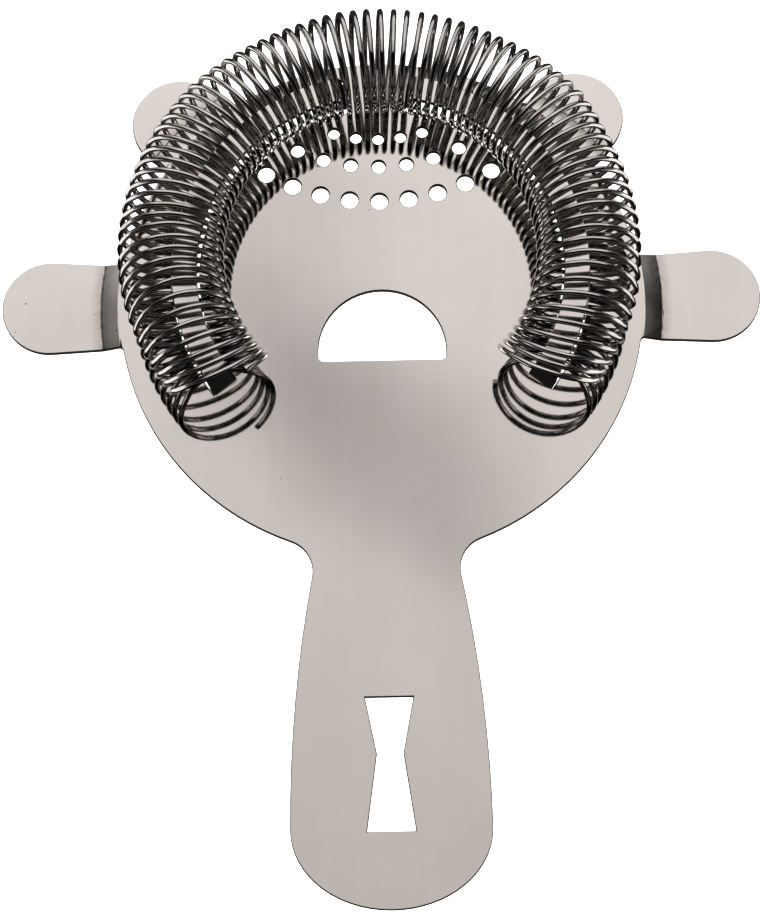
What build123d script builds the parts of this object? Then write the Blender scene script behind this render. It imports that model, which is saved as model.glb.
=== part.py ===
from build123d import *
import math
import os

# A hawthorne strainer: one stamped sheet of stainless steel and one long coil spring that is
# threaded on two arms raised out of that sheet. Millimetres. The model is laid out with the
# disc's centre at the origin, the handle towards -Y and the spring side up, and is moved to
# its own frame at the end: centred in X and Y, standing on Z = 0.

# The sheet
SHEET = 1.0
DISC_R = 46.0

# The four rest ears, which step down from the disc to lie on a shaker's rim
STEP_DROP = 1.1
STEP_START_R = 46.3
STEP_END_R = 49.6
STEP_BEND_R = 1.2
EAR_REACH_R = 72.0
EAR_ROOT_R = 42.0
EAR_ROOT_HALF = 7.5
EAR_OVERLAP_R = 45.0
EAR_CORNER_R = 0.8
SIDE_EAR_R = 8.5
SIDE_EAR_CENTRE_R = 58.4
SIDE_EAR_ANGLE = 0.5
FRONT_EAR_R = 8.6
FRONT_EAR_CENTRE_R = 50.2
FRONT_EAR_ANGLE = 44.6

# The handle: two long gentle arcs, closed by half an ellipse
HANDLE_HALF = 16.75
HANDLE_WIDEST_Y = -92.0
HANDLE_END_Y = -105.2
HANDLE_SIDE_R = 228.0
HANDLE_TOP_Y = -38.0
NECK_FILLET_R = 5.5

# The bow-tie slot in the handle
BOW_TOP_Y = -70.1
BOW_WAIST_Y = -79.55
BOW_BOTTOM_Y = -92.45
BOW_END_HALF = 4.05
BOW_WAIST_HALF = 2.2

# The D-shaped slot near the middle of the disc
D_STRAIGHT_Y = -10.75
D_ARC_R = 11.2
D_ARC_CENTRE_Y = -8.95
D_CORNER_R = 0.9

# The straining holes: rows on arcs about one centre in front of the disc
HOLE_CENTRE_Y = 58.0
HOLE_ROWS = (
    # holes, row radius, angle between holes, hole diameter
    (9, 38.87, 7.8, 3.1),
    (7, 32.2, 8.9, 2.5),
    (5, 26.8, 8.6, 2.1),
)

# The two raised arms, each freed by a slot and joined to the sheet at both ends
ARM_CENTRE_Y = 5.7
ARM_R = 34.5
ARM_WIDTH = 4.5
ARM_GAP = 0.15
ARM_RISE = 3.45
ARM_FRONT_ANGLE = 9.6
ARM_BACK_ANGLE = 127.2
FRONT_RAMP_RUN = 0.8
BACK_RAMP_RUN = 2.4
RAMP_BEND_R = 0.6
NOTCH_R = 0.9

# The coil spring
WIRE_D = 1.0
COIL_MEAN_R = 8.6
COIL_FLOOR = 0.12
COIL_PATH_R = 36.0
COIL_PATH_CENTRE_Y = 6.1
COIL_END_PATH_R = 35.2
CORNERS_PER_TURN = 8
CORNER_FILL = 0.93
# Where each turn stands, as turns counted from the front against degrees from the front
TURN_ANGLES = ((0, 0), (28, 90), (33, 107.6), (37.5, 121.6), (40, 128))
LAST_TURN_RIGHT = 39.75
LAST_TURN_LEFT = -40.4375
# Past the widest point the turns swing less than the path does, and lean to the handle
END_SWING = 0.645
END_LEAN = 17.0
# The feet of these turns, counted from the front, are pushed aside by an arm's ramps, in degrees
FOOT_SHIFTS = {
    3: -1.05,
    4: 1.0,
    5: 0.4,
    35: -0.15,
    36: -0.65,
    37: -1.4,
    38: -2.05,
    39: -2.4,
    40: -2.45,
}
# The tops of the turns lean along the coil, towards its ends where above zero, by degrees from the front
TOP_LEANS_RIGHT = ((30, 0), (80, -1.3), (92, -1.6), (104, -2.3), (115, 0), (123, 2.1), (128, 1.5))
TOP_LEANS_LEFT = ((30, 0), (80, -0.8), (94, -1.6), (106, -3.1), (112, -2.2), (121.5, 0), (125, 1.0))
# The outer sides of the turns bulge or dip a little, by degrees from the front
BULGES_RIGHT = ((30, 0), (40, 0.55), (52, 0.85), (62, 0.1), (70, 0))
BULGES_LEFT = ((10, 0), (18, -0.45), (30, -0.55), (46, 0.2), (80, 0.4), (95, 0.35), (110, 0))


def fan(radius, degrees_from_front, centre_y=0.0):
    """A point at this radius, turned from the front (+Y) towards +X."""
    angle = math.radians(degrees_from_front)
    return (radius * math.sin(angle), centre_y + radius * math.cos(angle))


def ear_outline(centre_r, end_r, degrees_above_x):
    """A rounded tongue that leaves the disc at this angle above the +X axis."""
    root = Pos(EAR_ROOT_R, 0) * Rectangle(1, 2 * EAR_ROOT_HALF)
    end = Pos(centre_r, 0) * Circle(end_r)
    tongue = make_hull((root + end).edges())
    return Rot(0, 0, degrees_above_x) * tongue


def ears_outline():
    right = Sketch() + [
        ear_outline(SIDE_EAR_CENTRE_R, SIDE_EAR_R, SIDE_EAR_ANGLE),
        ear_outline(FRONT_EAR_CENTRE_R, FRONT_EAR_R, FRONT_EAR_ANGLE),
    ]
    return right + mirror(right, Plane.YZ)


def handle_outline():
    """Two long arcs that widen towards the end, and half an ellipse."""
    drop = HANDLE_TOP_Y - HANDLE_WIDEST_Y
    turn = math.asin(drop / HANDLE_SIDE_R)
    top_half = HANDLE_HALF - HANDLE_SIDE_R * (1 - math.cos(turn))
    mid_half = HANDLE_HALF - HANDLE_SIDE_R * (1 - math.cos(turn / 2))
    mid_y = HANDLE_WIDEST_Y + HANDLE_SIDE_R * math.sin(turn / 2)
    with BuildSketch() as sketch:
        with BuildLine():
            right = ThreePointArc(
                (HANDLE_HALF, HANDLE_WIDEST_Y), (mid_half, mid_y), (top_half, HANDLE_TOP_Y)
            )
            left = ThreePointArc(
                (-HANDLE_HALF, HANDLE_WIDEST_Y), (-mid_half, mid_y), (-top_half, HANDLE_TOP_Y)
            )
            Line(right @ 1, left @ 1)
            EllipticalCenterArc(
                (0, HANDLE_WIDEST_Y),
                HANDLE_HALF,
                HANDLE_WIDEST_Y - HANDLE_END_Y,
                start_angle=180,
                arc_size=180,
            )
        make_face()
    return sketch.sketch


def bow_tie():
    with BuildSketch() as sketch:
        with BuildLine():
            Polyline(
                (BOW_END_HALF, BOW_TOP_Y),
                (BOW_WAIST_HALF, BOW_WAIST_Y),
                (BOW_END_HALF, BOW_BOTTOM_Y),
                (-BOW_END_HALF, BOW_BOTTOM_Y),
                (-BOW_WAIST_HALF, BOW_WAIST_Y),
                (-BOW_END_HALF, BOW_TOP_Y),
                close=True,
            )
        make_face()
    return sketch.sketch


def d_slot():
    """A straight edge towards the handle and one arc over it."""
    circle = Pos(0, D_ARC_CENTRE_Y) * Circle(D_ARC_R)
    above = Pos(0, D_STRAIGHT_Y + D_ARC_R) * Rectangle(4 * D_ARC_R, 2 * D_ARC_R)
    half = circle & above
    return fillet(half.vertices(), D_CORNER_R)


def hole_pattern():
    holes = []
    for count, row_r, step, diameter in HOLE_ROWS:
        for index in range(count):
            place = fan(row_r, 180 + (index - (count - 1) / 2) * step, HOLE_CENTRE_Y)
            holes.append(Pos(*place) * Circle(diameter / 2))
    return Sketch() + holes


def arm_band(inner_r, outer_r, start, end):
    """A band of the arms' ring between two angles from the front, on the +X side."""
    with BuildSketch() as sketch:
        with BuildLine():
            centre = ARM_CENTRE_Y
            middle = (start + end) / 2
            outer = ThreePointArc(
                fan(outer_r, start, centre), fan(outer_r, middle, centre), fan(outer_r, end, centre)
            )
            inner = ThreePointArc(
                fan(inner_r, start, centre), fan(inner_r, middle, centre), fan(inner_r, end, centre)
            )
            Line(outer @ 0, inner @ 0)
            Line(outer @ 1, inner @ 1)
        make_face()
    return sketch.sketch


def arm_slot():
    """The opening that frees one arm, with a round relief notch at each front corner."""
    half = ARM_WIDTH / 2 + ARM_GAP
    slot = arm_band(ARM_R - half, ARM_R + half, ARM_FRONT_ANGLE, ARM_BACK_ANGLE)
    for side in (-1, 1):
        place = fan(ARM_R + side * half, ARM_FRONT_ANGLE + 1.0, ARM_CENTRE_Y)
        slot = slot + Pos(*place) * Circle(NOTCH_R)
    return slot


def ramp_profile(run):
    """Side view of a ramp: the sheet bends up from its own level to the arm's level."""
    slope = math.hypot(run, ARM_RISE)
    shift = SHEET * (slope - run) / ARM_RISE
    far = 6.0
    with BuildSketch(Plane.XZ) as sketch:
        with BuildLine():
            Polyline(
                (-far, 0),
                (0, 0),
                (run, ARM_RISE),
                (run + far, ARM_RISE),
                (run + far, ARM_RISE - SHEET),
                (run + shift, ARM_RISE - SHEET),
                (shift, -SHEET),
                (-far, -SHEET),
                close=True,
            )
        make_face()
        corners = sketch.vertices().filter_by_position(Axis.X, -0.01, run + shift + 0.01)
        fillet(corners, RAMP_BEND_R)
    return sketch.sketch


def ramp(angle, run, towards):
    """One ramp of the +X arm. towards is +1 where it climbs away from the front."""
    solid = extrude(ramp_profile(run), ARM_WIDTH, both=True)
    place = fan(ARM_R, angle, ARM_CENTRE_Y)
    along = -angle if towards > 0 else 180 - angle
    solid = Pos(place[0], place[1], 0) * Rot(0, 0, along) * solid
    reach = math.degrees((run + 2.0) / ARM_R)
    inner = ARM_R - ARM_WIDTH / 2
    outer = ARM_R + ARM_WIDTH / 2
    overlap = math.degrees(1.0 / ARM_R)
    band = arm_band(inner, outer, angle - towards * overlap, angle + towards * reach)
    return solid & extrude(band, 2 * ARM_RISE, both=True)


def arm():
    """The raised arm on the +X side with its two ramps."""
    inner = ARM_R - ARM_WIDTH / 2
    outer = ARM_R + ARM_WIDTH / 2
    start = ARM_FRONT_ANGLE + math.degrees((FRONT_RAMP_RUN + 1.5) / ARM_R)
    end = ARM_BACK_ANGLE - math.degrees((BACK_RAMP_RUN + 1.5) / ARM_R)
    level = Pos(0, 0, ARM_RISE - SHEET) * extrude(arm_band(inner, outer, start, end), SHEET)
    front = ramp(ARM_FRONT_ANGLE, FRONT_RAMP_RUN, 1)
    back = ramp(ARM_BACK_ANGLE, BACK_RAMP_RUN, -1)
    return level + front + back


def stepped_ring():
    """The sheet's section beyond the disc, turned about the disc's axis."""
    with BuildSketch(Plane.XZ) as sketch:
        with BuildLine():
            Polyline(
                (EAR_OVERLAP_R, 0),
                (STEP_START_R, 0),
                (STEP_END_R, -STEP_DROP),
                (EAR_REACH_R, -STEP_DROP),
                (EAR_REACH_R, -STEP_DROP - SHEET),
                (STEP_END_R, -STEP_DROP - SHEET),
                (STEP_START_R, -SHEET),
                (EAR_OVERLAP_R, -SHEET),
                close=True,
            )
        make_face()
        bends = sketch.vertices().filter_by_position(
            Axis.X, STEP_START_R - 0.01, STEP_END_R + 0.01
        )
        fillet(bends, STEP_BEND_R)
    return revolve(sketch.sketch, Axis.Z)


def strainer_plate():
    disc = Circle(DISC_R)
    handle_side = Pos(0, HANDLE_END_Y) * Rectangle(4 * HANDLE_HALF, 1.2 * abs(HANDLE_END_Y))
    flat = disc + handle_outline()
    neck = flat.vertices().filter_by_position(Axis.Y, -DISC_R - 2, -DISC_R / 2)
    flat = fillet(neck, NECK_FILLET_R)
    flat = flat - d_slot() - bow_tie() - hole_pattern()
    slot = arm_slot()
    flat = flat - slot - mirror(slot, Plane.YZ)
    sheet = Pos(0, 0, -SHEET) * extrude(flat, SHEET)

    whole = disc + ears_outline()
    corners = whole.vertices().filter_by(
        lambda vertex: abs(math.hypot(vertex.X, vertex.Y) - DISC_R) < 0.01
    )
    whole = fillet(corners, EAR_CORNER_R)
    ears = whole - Circle(EAR_OVERLAP_R) - handle_side
    ears = extrude(ears, 2 * STEP_DROP + SHEET, both=True) & stepped_ring()

    right_arm = arm()
    return sheet + ears + right_arm + mirror(right_arm, Plane.YZ)


def read_table(table, value):
    """Reads pairs at a value, in straight lines between them and level beyond them."""
    result = table[0][1]
    for (from_value, from_result), (to_value, to_result) in zip(table, table[1:]):
        share = (value - from_value) / (to_value - from_value)
        if share > 0:
            result = from_result + (to_result - from_result) * min(share, 1.0)
    return result


def turn_angle(turn):
    """Degrees from the front at this turn, the same either side of the front."""
    count = abs(turn)
    angle = read_table(TURN_ANGLES, count) + 2.0 * max(count - TURN_ANGLES[-1][0], 0.0)
    return math.copysign(angle, turn)


def foot_shift(turn):
    """Degrees by which the foot of a turn is pushed aside by an arm's ramps."""
    nearest = round(turn)
    at_foot = abs(turn - nearest) < 1.0 / CORNERS_PER_TURN
    shift = FOOT_SHIFTS.get(abs(nearest), 0.0) if at_foot else 0.0
    return math.copysign(shift, nearest * shift)


def coil_point(turn, mean_r):
    """A point of the wire's corner path. Whole turns are at the foot of the coil."""
    angle = turn_angle(turn) + foot_shift(turn)
    past = max(abs(angle) - 90.0, 0.0)
    share = past / (TURN_ANGLES[-1][1] - 90.0)
    path_r = COIL_PATH_R + (COIL_END_PATH_R - COIL_PATH_R) * share**2
    centre_x, centre_y = fan(path_r, angle, COIL_PATH_CENTRE_Y)
    swing = angle - math.copysign((1 - END_SWING) * past, angle)
    lean = math.radians(END_LEAN * share)
    phase = 2 * math.pi * turn
    out_x, out_y = fan(1.0, swing)
    along_x, along_y = math.copysign(1, angle) * out_y, -math.copysign(1, angle) * out_x
    bulge = read_table(BULGES_RIGHT if angle > 0 else BULGES_LEFT, abs(angle))
    out = mean_r * math.sin(phase) + bulge * max(math.sin(phase), 0.0)
    up = -mean_r * math.cos(phase)
    top_lean = read_table(TOP_LEANS_RIGHT if angle > 0 else TOP_LEANS_LEFT, abs(angle))
    along = up * math.sin(lean) + top_lean * max(-math.cos(phase), 0.0) ** 1.5
    floor = COIL_FLOOR + WIRE_D / 2 + COIL_MEAN_R
    return (
        centre_x + out * out_x + along * along_x,
        centre_y + out * out_y + along * along_y,
        floor + up * math.cos(lean),
    )


def coil_spring():
    """One wire: straight runs joined by wide tangent arcs, eight to a turn."""
    corner_r = COIL_MEAN_R / math.cos(math.pi / CORNERS_PER_TURN)
    first = math.ceil(LAST_TURN_LEFT * CORNERS_PER_TURN - 0.5)
    last = math.floor(LAST_TURN_RIGHT * CORNERS_PER_TURN - 0.5)
    corners = []
    for index in range(first, last + 1):
        corners.append(coil_point((index + 0.5) / CORNERS_PER_TURN, corner_r))
    path = FilletPolyline(*corners, radius=CORNER_FILL * COIL_MEAN_R)
    section = Plane(origin=path @ 0, z_dir=path % 0) * Circle(WIRE_D / 2)
    return sweep(section, path=path)


def main():
    os.makedirs("parts", exist_ok=True)
    plate = strainer_plate()
    spring = coil_spring()
    plate_box = plate.bounding_box()
    spring_box = spring.bounding_box()
    middle_y = (plate_box.min.Y + spring_box.max.Y) / 2
    to_frame = Pos(0, -middle_y, -plate_box.min.Z)
    export_step(to_frame * plate, "parts/plate.step")
    export_step(to_frame * spring, "parts/spring.step")
    print("disc centre in the frame: y", -middle_y, "sheet top z", -plate_box.min.Z)


main()
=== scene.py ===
import math
import random

import bmesh
import bpy
from mathutils import Matrix, Vector


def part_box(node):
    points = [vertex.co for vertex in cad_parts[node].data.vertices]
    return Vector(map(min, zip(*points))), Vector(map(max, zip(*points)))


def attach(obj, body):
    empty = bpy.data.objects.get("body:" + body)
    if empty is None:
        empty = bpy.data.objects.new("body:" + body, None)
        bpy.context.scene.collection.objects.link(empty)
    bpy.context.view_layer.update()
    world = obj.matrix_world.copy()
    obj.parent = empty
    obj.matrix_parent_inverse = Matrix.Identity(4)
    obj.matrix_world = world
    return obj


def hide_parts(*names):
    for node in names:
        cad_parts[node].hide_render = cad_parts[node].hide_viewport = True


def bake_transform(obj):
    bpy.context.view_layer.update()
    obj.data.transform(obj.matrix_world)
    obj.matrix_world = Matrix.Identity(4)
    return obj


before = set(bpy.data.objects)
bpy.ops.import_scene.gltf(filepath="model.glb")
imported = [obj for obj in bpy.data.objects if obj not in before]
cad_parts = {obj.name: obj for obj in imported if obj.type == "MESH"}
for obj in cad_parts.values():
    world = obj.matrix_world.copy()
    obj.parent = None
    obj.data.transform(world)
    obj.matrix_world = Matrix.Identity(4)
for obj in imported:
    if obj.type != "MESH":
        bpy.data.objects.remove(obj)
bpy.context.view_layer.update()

MM = 0.001

# ---------------------------------------------------------------- sizes taken from the frame
PLATE_LOW, PLATE_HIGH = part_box("plate")
SPRING_LOW, SPRING_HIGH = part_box("spring")
DISC_R = 46.0 * MM
DISC_Y = PLATE_HIGH.y - DISC_R
COIL_FLOOR_Z = SPRING_LOW.z
STEP_DROP = 1.1 * MM
SHEET = 1.0 * MM
SHEET_TOP_Z = PLATE_LOW.z + STEP_DROP + SHEET
BEND_R = 49.4 * MM      # from the disc's centre to the crease at the foot of each ear's slope

# The coil, as the CAD part winds it
WIRE_R = 0.5 * MM
COIL_MEAN_R = 8.6 * MM
COIL_PATH_R = 36.0 * MM
COIL_END_PATH_R = 35.2 * MM
COIL_PATH_Y = DISC_Y + 6.1 * MM
TURN_ANGLES = ((0, 0), (28, 90), (33, 107.6), (37.5, 121.6), (40, 128))
FIRST_TURN = -40.4375
LAST_TURN = 39.75
END_SWING = 0.645
END_LEAN = 17.0
FOOT_SHIFTS = {
    3: -1.05,
    4: 1.0,
    5: 0.4,
    35: -0.15,
    36: -0.65,
    37: -1.4,
    38: -2.05,
    39: -2.4,
    40: -2.45,
}
FOOT_REACH = 0.2
TURN_WOBBLE = 0.22          # degrees along the coil, at a turn's top
RADIUS_WOBBLE = 0.05 * MM
TOP_LEANS_RIGHT = ((30, 0), (80, -1.3), (92, -1.6), (104, -2.3), (115, 0), (123, 2.1), (128, 1.5))
TOP_LEANS_LEFT = ((30, 0), (80, -0.8), (94, -1.6), (106, -3.1), (112, -2.2), (121.5, 0), (125, 1.0))
BULGES_RIGHT = ((30, 0), (40, 0.55), (52, 0.85), (62, 0.1), (70, 0))
BULGES_LEFT = ((10, 0), (18, -0.45), (30, -0.55), (46, 0.2), (80, 0.4), (95, 0.35), (110, 0))

# Mesh fineness
STEPS_PER_TURN = 44
WIRE_SIDES = 14
EDGE_ROUND = 0.18 * MM
FLAT_ANGLE = 0.4            # degrees: faces closer than this are joined
SHARP_ANGLE = 55.0          # degrees: edges sharper than this are rounded

# The camera, and the pale sheet that the metal mirrors
CAMERA_TILT = 16.14
CAMERA_ROLL = 1.12
CAMERA_LENS = 105.411765
CAMERA_SENSOR = 36.0
CAMERA_EYE = Vector((-0.32 * MM, DISC_Y - 135.5 * MM, SHEET_TOP_Z + 371.0 * MM))
SWEEP_R = 3.0
SHEET_R = 44.0 * MM
ROUND_SIDES = 64


# ---------------------------------------------------------------- the coil spring
def read_table(table, value):
    """Reads pairs at a value, in straight lines between them and level beyond them."""
    result = table[0][1]
    for (from_value, from_result), (to_value, to_result) in zip(table, table[1:]):
        share = (value - from_value) / (to_value - from_value)
        if share > 0:
            result = from_result + (to_result - from_result) * min(share, 1.0)
    return result


def turn_angle(turn):
    """Degrees from the front at this turn, the same either side of the front."""
    count = abs(turn)
    angle = read_table(TURN_ANGLES, count) + 2.0 * max(count - TURN_ANGLES[-1][0], 0.0)
    return math.copysign(angle, turn)


def foot_shift(turn):
    """Degrees by which the foot of a turn is pushed aside by an arm's ramps."""
    nearest = round(turn)
    shift = FOOT_SHIFTS.get(abs(nearest), 0.0)
    off = abs(turn - nearest) / FOOT_REACH
    if shift == 0.0 or off >= 1.0:
        return 0.0
    return math.copysign(shift * 0.5 * (1 + math.cos(math.pi * off)), nearest * shift)


def fan(radius, degrees_from_front):
    angle = math.radians(degrees_from_front)
    return Vector((radius * math.sin(angle), radius * math.cos(angle), 0.0))


def smooth_wobble(seed, count):
    """One small random value per turn, read with a smooth step between turns."""
    draw = random.Random(seed)
    values = [draw.uniform(-1.0, 1.0) for _ in range(count + 2)]

    def read(turn):
        place = turn - FIRST_TURN
        low = int(place)
        share = place - low
        share = share * share * (3 - 2 * share)
        return values[low] * (1 - share) + values[low + 1] * share

    return read


def coil_frame(turn, angle_wobble, radius_wobble):
    """The wire's centre at this turn, and the direction outwards from the coil's own axis."""
    angle = turn_angle(turn) + foot_shift(turn) + angle_wobble
    past = max(abs(angle) - 90.0, 0.0)
    share = past / (TURN_ANGLES[-1][1] - 90.0)
    side = math.copysign(1.0, angle)
    path_r = COIL_PATH_R + (COIL_END_PATH_R - COIL_PATH_R) * share**2
    centre = fan(path_r, angle) + Vector((0, COIL_PATH_Y, COIL_FLOOR_Z + WIRE_R + COIL_MEAN_R))
    out = fan(1.0, angle - side * (1 - END_SWING) * past)
    along = Vector((side * out.y, -side * out.x, 0.0))
    lean = math.radians(END_LEAN * share)
    up = Vector((0, 0, math.cos(lean))) + along * math.sin(lean)
    phase = 2 * math.pi * turn
    outward = out * math.sin(phase) - up * math.cos(phase)
    bulge = read_table(BULGES_RIGHT if angle > 0 else BULGES_LEFT, abs(angle)) * MM
    top_lean = read_table(TOP_LEANS_RIGHT if angle > 0 else TOP_LEANS_LEFT, abs(angle)) * MM
    place = centre + outward * (COIL_MEAN_R + radius_wobble)
    place += out * bulge * max(math.sin(phase), 0.0)
    place += along * top_lean * max(-math.cos(phase), 0.0) ** 1.5
    return place, outward


def wire_mesh(name, points, outwards):
    """A round wire along these points, with rounded ends. Each vertex keeps its place along
    and around the wire for the drawn finish."""
    bm = bmesh.new()
    place = bm.verts.layers.float_vector.new("wire_place")
    rings = []
    length = 0.0
    last = len(points) - 1
    for index, (point, outward) in enumerate(zip(points, outwards)):
        before = points[max(index - 1, 0)]
        after = points[min(index + 1, last)]
        if index:
            length += (point - points[index - 1]).length
        tangent = (after - before).normalized()
        across = tangent.cross(outward).normalized()
        outer = across.cross(tangent).normalized()
        ring = []
        for side in range(WIRE_SIDES):
            turn = 2 * math.pi * side / WIRE_SIDES
            offset = (outer * math.cos(turn) + across * math.sin(turn)) * WIRE_R
            vertex = bm.verts.new(point + offset)
            vertex[place] = (math.cos(turn), math.sin(turn), length / MM)
            ring.append(vertex)
        rings.append(ring)
    for ring_a, ring_b in zip(rings, rings[1:]):
        for side in range(WIRE_SIDES):
            other = (side + 1) % WIRE_SIDES
            bm.faces.new((ring_a[side], ring_a[other], ring_b[other], ring_b[side]))
    for ring, flip in ((rings[0], True), (rings[-1], False)):
        face = bm.faces.new(list(reversed(ring)) if flip else ring)
        bmesh.ops.inset_region(bm, faces=[face], thickness=0.25 * WIRE_R, depth=0.18 * WIRE_R)
    bmesh.ops.recalc_face_normals(bm, faces=bm.faces)
    for face in bm.faces:
        face.smooth = True
    mesh = bpy.data.meshes.new(name)
    bm.to_mesh(mesh)
    bm.free()
    return mesh


def make_spring():
    """One long coil, hand-fed on its two arms, so its turns are a little uneven."""
    turns = int(LAST_TURN - FIRST_TURN) + 1
    spread = smooth_wobble(11, turns)
    swell = smooth_wobble(29, turns)
    points = []
    outwards = []
    count = round((LAST_TURN - FIRST_TURN) * STEPS_PER_TURN)
    for index in range(count + 1):
        turn = FIRST_TURN + index / STEPS_PER_TURN
        rise = 0.5 * (1 - math.cos(2 * math.pi * turn))
        point, outward = coil_frame(
            turn, TURN_WOBBLE * rise * spread(turn), -RADIUS_WOBBLE * rise * abs(swell(turn))
        )
        points.append(point)
        outwards.append(outward)
    mesh = wire_mesh("coil_spring", points, outwards)
    spring = bpy.data.objects.new("coil_spring", mesh)
    bpy.context.scene.collection.objects.link(spring)
    return spring


# ---------------------------------------------------------------- the stamped plate
def make_plate():
    """The stamping with its blanked edges rounded. The rounding isn't clamped, so some of its
    faces fold over each other where edges are short, mostly at the arms' roots."""
    bm = bmesh.new()
    bm.from_mesh(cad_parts["plate"].data)
    bmesh.ops.remove_doubles(bm, verts=bm.verts, dist=1e-6)
    bmesh.ops.dissolve_limit(
        bm, angle_limit=math.radians(FLAT_ANGLE), verts=bm.verts, edges=bm.edges
    )
    sharp = [
        edge
        for edge in bm.edges
        if len(edge.link_faces) == 2 and edge.calc_face_angle(0) > math.radians(SHARP_ANGLE)
    ]
    bmesh.ops.bevel(
        bm,
        geom=sharp,
        offset=EDGE_ROUND,
        segments=3,
        profile=0.5,
        affect="EDGES",
        clamp_overlap=False,
    )
    for face in bm.faces:
        face.smooth = True
    mesh = bpy.data.meshes.new("stamped_plate")
    bm.to_mesh(mesh)
    bm.free()
    plate = bpy.data.objects.new("stamped_plate", mesh)
    bpy.context.scene.collection.objects.link(plate)
    shade = plate.modifiers.new("normals", "WEIGHTED_NORMAL")
    shade.keep_sharp = True
    shade.weight = 100
    return plate


# ---------------------------------------------------------------- materials
class Nodes:
    """Short calls for building one node tree."""

    def __init__(self, owner):
        owner.use_nodes = True
        self.tree = owner.node_tree
        self.tree.nodes.clear()

    def add(self, kind, **sockets):
        node = self.tree.nodes.new(kind)
        for key, value in sockets.items():
            self.give(node, key.replace("_", " "), value)
        return node

    def give(self, node, key, value):
        socket = node.inputs[key]
        if isinstance(value, bpy.types.NodeSocket):
            self.tree.links.new(value, socket)
        else:
            socket.default_value = value

    def maths(self, operation, a, b=0.0):
        node = self.add("ShaderNodeMath")
        node.operation = operation
        self.give(node, 0, a)
        self.give(node, 1, b)
        return node.outputs[0]

    def product(self, first, *others):
        result = first
        for other in others:
            result = self.maths("MULTIPLY", result, other)
        return result

    def span(self, value, low, high, to_low=0.0, to_high=1.0, smooth=False):
        node = self.add("ShaderNodeMapRange")
        node.interpolation_type = "SMOOTHSTEP" if smooth else "LINEAR"
        self.give(node, "Value", value)
        self.give(node, "From Min", low)
        self.give(node, "From Max", high)
        self.give(node, "To Min", to_low)
        self.give(node, "To Max", to_high)
        return node.outputs["Result"]

    def mix_colour(self, share, a, b):
        node = self.add("ShaderNodeMix")
        node.data_type = "RGBA"
        self.give(node, 0, share)
        self.give(node, 6, a)
        self.give(node, 7, b)
        return node.outputs[2]

    def noise(self, vector, scale, detail=4.0, roughness=0.5):
        node = self.add(
            "ShaderNodeTexNoise", Vector=vector, Scale=scale, Detail=detail, Roughness=roughness
        )
        return node.outputs["Fac"]

    def stretched(self, vector, scale):
        return self.add("ShaderNodeMapping", Vector=vector, Scale=scale).outputs["Vector"]

    def bump(self, height, distance, normal=None):
        node = self.add("ShaderNodeBump", Height=height, Distance=distance)
        if normal is not None:
            self.give(node, "Normal", normal)
        return node.outputs["Normal"]

    def metal(self, colour, roughness, normal, bare=1.0):
        shader = self.add(
            "ShaderNodeBsdfPrincipled", Metallic=bare, Roughness=roughness, Normal=normal
        )
        self.give(shader, "Base Color", colour)
        self.add("ShaderNodeOutputMaterial", Surface=shader.outputs[0])
        return shader


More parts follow.
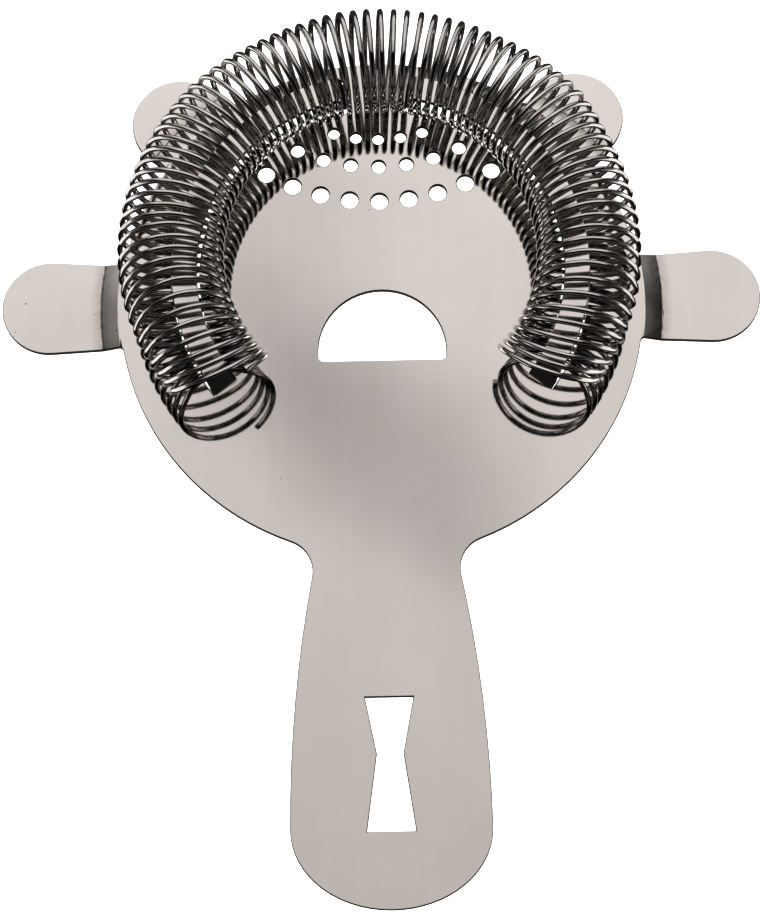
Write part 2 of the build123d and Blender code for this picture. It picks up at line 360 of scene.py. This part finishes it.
def satin_steel():
    """Cold-rolled stainless sheet, finely grained along the handle, with a few pits (more where the
    disc's left edge is worn), painted shade along the side ears' creases and across their slopes,
    and dull cut edges whose near-black colour is painted shade."""
    material = bpy.data.materials.new("satin_steel")
    n = Nodes(material)
    coordinates = n.add("ShaderNodeTexCoord")
    place = coordinates.outputs["Object"]
    x, y, _ = n.add("ShaderNodeSeparateXYZ", Vector=place).outputs
    upright = n.add("ShaderNodeSeparateXYZ", Vector=coordinates.outputs["Normal"]).outputs[2]
    # Mask of the cut walls: their dull sheared finish (rough, not metallic) is real, and their
    # near-black colour below is painted shade.
    cut = n.span(n.maths("ABSOLUTE", upright), 0.78, 0.9, 1.0, 0.0, smooth=True)
    grain = n.noise(n.stretched(place, (5200.0, 130.0, 900.0)), 1.0, 5.0, 0.6)
    streaks = n.noise(n.stretched(place, (420.0, 11.0, 200.0)), 1.0, 5.0, 0.6)
    cloud = n.noise(place, 46.0, 3.0)
    waviness = n.noise(place, 26.0, 1.0, 0.4)
    worn = n.product(
        n.span(x, -46.0 * MM, -40.0 * MM, 1.0, 0.0, smooth=True),
        n.span(y, DISC_Y - 26.0 * MM, DISC_Y - 16.0 * MM, smooth=True),
        n.span(y, DISC_Y + 2.0 * MM, DISC_Y + 10.0 * MM, 1.0, 0.0, smooth=True),
    )
    from_disc = n.add("ShaderNodeCombineXYZ", X=x, Y=n.maths("SUBTRACT", y, DISC_Y)).outputs[0]
    reach = n.add("ShaderNodeVectorMath", Vector=from_disc)
    reach.operation = "LENGTH"
    past_bend = n.maths("SUBTRACT", reach.outputs["Value"], BEND_R)
    off_bend = n.maths("ABSOLUTE", past_bend)
    # Painted shade: each ear's slope is darkened, the right-hand ear more than the left, and a
    # darker painted line runs along each crease.
    on_slope = n.product(
        n.span(past_bend, -2.6 * MM, -0.3 * MM, smooth=True),
        n.span(past_bend, 0.0, 0.6 * MM, 1.0, 0.0, smooth=True),
        n.span(x, -1.0 * MM, 1.0 * MM, 0.1, 0.5),
    )
    painted_crease_and_slope_shade = n.maths(
        "ADD",
        n.span(off_bend, 0.05 * MM, 0.35 * MM, 0.5, 0.0, smooth=True),
        n.span(off_bend, 0.0, 2.4 * MM, 0.3, 0.0, smooth=True),
    )
    painted_crease_and_slope_shade = n.maths("MAXIMUM", painted_crease_and_slope_shade, on_slope)
    painted_crease_and_slope_shade = n.product(
        painted_crease_and_slope_shade,
        n.span(n.noise(place, 900.0, 3.0), 0.3, 0.6, 0.55, 1.0),
        n.span(y, DISC_Y - 20.0 * MM, DISC_Y - 14.0 * MM, smooth=True),
    )
    spots = n.add("ShaderNodeTexVoronoi", Vector=place, Scale=560.0)
    drawn = n.add("ShaderNodeSeparateColor", Color=spots.outputs["Color"]).outputs
    size = n.span(drawn[1], 0.0, 1.0, 0.03, 0.09)
    near = n.maths("LESS_THAN", spots.outputs["Distance"], size)
    rare = n.maths("GREATER_THAN", n.maths("ADD", drawn[0], n.product(worn, 0.22)), 0.975)
    pits = n.product(near, rare)

    normal = n.bump(waviness, 0.10 * MM)
    normal = n.bump(grain, 0.0010 * MM, normal)
    normal = n.bump(pits, -0.05 * MM, normal)
    tone = n.maths(
        "ADD", n.span(cloud, 0.35, 0.65, 0.0, 0.55), n.span(streaks, 0.3, 0.7, 0.0, 0.3)
    )
    colour = n.mix_colour(tone, (0.635, 0.605, 0.583, 1), (0.675, 0.645, 0.625, 1))
    colour = n.mix_colour(n.product(pits, 0.75), colour, (0.10, 0.085, 0.07, 1))
    colour = n.mix_colour(painted_crease_and_slope_shade, colour, (0.12, 0.11, 0.10, 1))
    # Painted shade: the cut walls are painted near-black.
    colour = n.mix_colour(n.product(cut, 0.95), colour, (0.035, 0.032, 0.03, 1))
    rough = n.maths("ADD", n.span(grain, 0.3, 0.7, 0.035, 0.065), n.product(pits, 0.3))
    rough = n.maths("ADD", rough, n.product(cut, 0.85))
    bare = n.maths("SUBTRACT", 1.0, cut)
    shader = n.metal(colour, rough, normal, bare)
    n.give(shader, "Specular IOR Level", n.product(bare, 0.5))
    return material


def spring_wire():
    """Bright drawn wire: faint die lines run along it, with slight dulling in patches."""
    material = bpy.data.materials.new("spring_wire")
    n = Nodes(material)
    attribute = n.add("ShaderNodeAttribute")
    attribute.attribute_name = "wire_place"
    along = attribute.outputs["Vector"]
    lines = n.noise(n.stretched(along, (5.0, 5.0, 0.05)), 1.0, 3.0, 0.6)
    patches = n.noise(n.stretched(along, (0.8, 0.8, 0.22)), 1.0, 2.0)
    normal = n.bump(lines, 0.004 * MM)
    colour = n.mix_colour(
        n.span(patches, 0.35, 0.65), (0.53, 0.515, 0.50, 1), (0.63, 0.615, 0.60, 1)
    )
    rough = n.maths(
        "ADD", n.span(patches, 0.3, 0.7, 0.06, 0.11), n.span(lines, 0.3, 0.7, 0.0, 0.03)
    )
    n.metal(colour, rough, normal)
    return material


# ---------------------------------------------------------------- studio and camera
def lathed(name, rings):
    """A round stage piece from pairs of radius and height."""
    bm = bmesh.new()
    loops = []
    for radius, height in rings:
        loop = []
        for side in range(ROUND_SIDES):
            turn = 2 * math.pi * side / ROUND_SIDES
            loop.append(bm.verts.new((radius * math.cos(turn), radius * math.sin(turn), height)))
        loops.append(loop)
    bm.faces.new(loops[0])
    for loop_a, loop_b in zip(loops, loops[1:]):
        for side in range(ROUND_SIDES):
            other = (side + 1) % ROUND_SIDES
            bm.faces.new((loop_a[side], loop_b[side], loop_b[other], loop_a[other]))
    for face in bm.faces:
        face.smooth = True
    mesh = bpy.data.meshes.new(name)
    bm.to_mesh(mesh)
    bm.free()
    piece = bpy.data.objects.new(name, mesh)
    bpy.context.scene.collection.objects.link(piece)
    return piece


def make_floor():
    """A plain pale sweep that curves up far away on every side, and a round pale sheet on it
    under the strainer. The metal mirrors the sheet, but not the sweep."""
    material = bpy.data.materials.new("pale_floor")
    n = Nodes(material)
    glow = n.add("ShaderNodeEmission", Color=(1.0, 0.995, 0.985, 1.0), Strength=1.15)
    n.add("ShaderNodeOutputMaterial", Surface=glow.outputs[0])
    rings = [(0.05, 0.0), (0.5, 0.0), (SWEEP_R, 0.0)]
    for step in range(1, 13):
        turn = math.radians(90 * step / 12)
        rings.append((SWEEP_R * (1 + math.sin(turn)), SWEEP_R * (1 - math.cos(turn))))
    sweep = lathed("sweep", rings)
    sweep.visible_glossy = False
    sheet = lathed("sheet", [(1.0 * MM, 0.01 * MM), (SHEET_R, 0.01 * MM)])
    sheet.location.y = DISC_Y
    for piece in (sweep, sheet):
        piece.data.materials.append(material)


def make_world():
    """Studio surroundings that the metal mirrors: a broad soft light from overhead to behind
    the spring with two dimmer patches in it, a low bright card on each side, faint walls all
    round, and a dark room on the handle's side."""
    world = bpy.data.worlds.new("studio")
    bpy.context.scene.world = world
    n = Nodes(world)
    place = n.add("ShaderNodeTexCoord").outputs["Generated"]
    x, y, z = n.add("ShaderNodeSeparateXYZ", Vector=place).outputs
    aside = n.maths("ABSOLUTE", x)

    behind = n.span(y, -0.11, -0.02, smooth=True)
    panel = n.product(
        behind,
        n.span(x, 0.50, 0.72, 1.0, 0.0, smooth=True),
        n.span(x, -0.77, -0.50, smooth=True),
        n.span(z, -0.22, -0.04, smooth=True),
        n.span(y, 0.05, 0.45, 0.52, 0.72),
        n.span(y, 0.50, 0.90, 1.0, 0.85),
    )
    slant = n.maths("ADD", n.maths("ADD", y, n.product(x, 0.55)), -0.28)
    patch = n.product(
        n.span(n.maths("ABSOLUTE", slant), 0.01, 0.07, 0.23, 0.0, smooth=True),
        n.span(aside, 0.02, 0.09, 1.0, 0.0, smooth=True),
    )
    left_patch = n.product(
        n.span(x, -0.11, -0.07, 0.0, 0.12, smooth=True),
        n.span(x, -0.05, 0.03, 1.0, 0.0, smooth=True),
        n.span(y, 0.27, 0.31, smooth=True),
        n.span(y, 0.39, 0.43, 1.0, 0.0, smooth=True),
    )
    dimmed = n.maths("SUBTRACT", n.maths("SUBTRACT", 1.0, patch), left_patch)
    panel = n.product(panel, dimmed)
    cards = n.product(
        n.span(aside, 0.40, 0.60, smooth=True),
        n.span(z, -0.85, -0.70, smooth=True),
        n.span(z, -0.02, 0.16, 1.0, 0.0, smooth=True),
        n.span(y, -0.72, -0.58, smooth=True),
        n.span(y, 0.40, 0.60, 1.0, 0.0, smooth=True),
        0.9,
    )
    room = n.span(behind, 0.0, 1.0, 0.015, 0.07)
    walls = n.product(
        n.span(z, 0.04, 0.18, smooth=True), n.span(z, 0.36, 0.56, 1.0, 0.0, smooth=True), 0.15
    )
    light = n.maths("MAXIMUM", n.maths("MAXIMUM", panel, cards), n.maths("MAXIMUM", room, walls))
    back = n.add("ShaderNodeBackground", Color=(1.0, 0.99, 0.98, 1.0), Strength=light)
    n.add("ShaderNodeOutputWorld", Surface=back.outputs[0])


def make_camera():
    """Above the object, leaning 16 degrees towards the handle, and turned one degree."""
    tilt = math.radians(CAMERA_TILT)
    roll = math.radians(CAMERA_ROLL)
    level, turned = math.cos(roll), math.sin(roll)
    right = Vector((level, -turned * math.cos(tilt), -turned * math.sin(tilt)))
    up = Vector((turned, level * math.cos(tilt), level * math.sin(tilt)))
    back = Vector((0.0, -math.sin(tilt), math.cos(tilt)))
    data = bpy.data.cameras.new("camera")
    data.sensor_fit = "HORIZONTAL"
    data.sensor_width = CAMERA_SENSOR
    data.lens = CAMERA_LENS
    data.clip_start = 0.01
    data.clip_end = 50.0
    camera = bpy.data.objects.new("camera", data)
    bpy.context.scene.collection.objects.link(camera)
    camera.matrix_world = Matrix(
        (
            (right.x, up.x, back.x, CAMERA_EYE.x),
            (right.y, up.y, back.y, CAMERA_EYE.y),
            (right.z, up.z, back.z, CAMERA_EYE.z),
            (0.0, 0.0, 0.0, 1.0),
        )
    )
    bpy.context.scene.camera = camera


def main():
    plate = make_plate()
    plate.data.materials.append(satin_steel())
    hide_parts("plate")
    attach(plate, "root")

    spring = make_spring()
    spring.data.materials.append(spring_wire())
    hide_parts("spring")
    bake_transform(spring)
    make_floor()
    make_world()
    make_camera()
    view = bpy.context.scene.view_settings
    view.view_transform = "Standard"
    view.look = "Very High Contrast"


main()
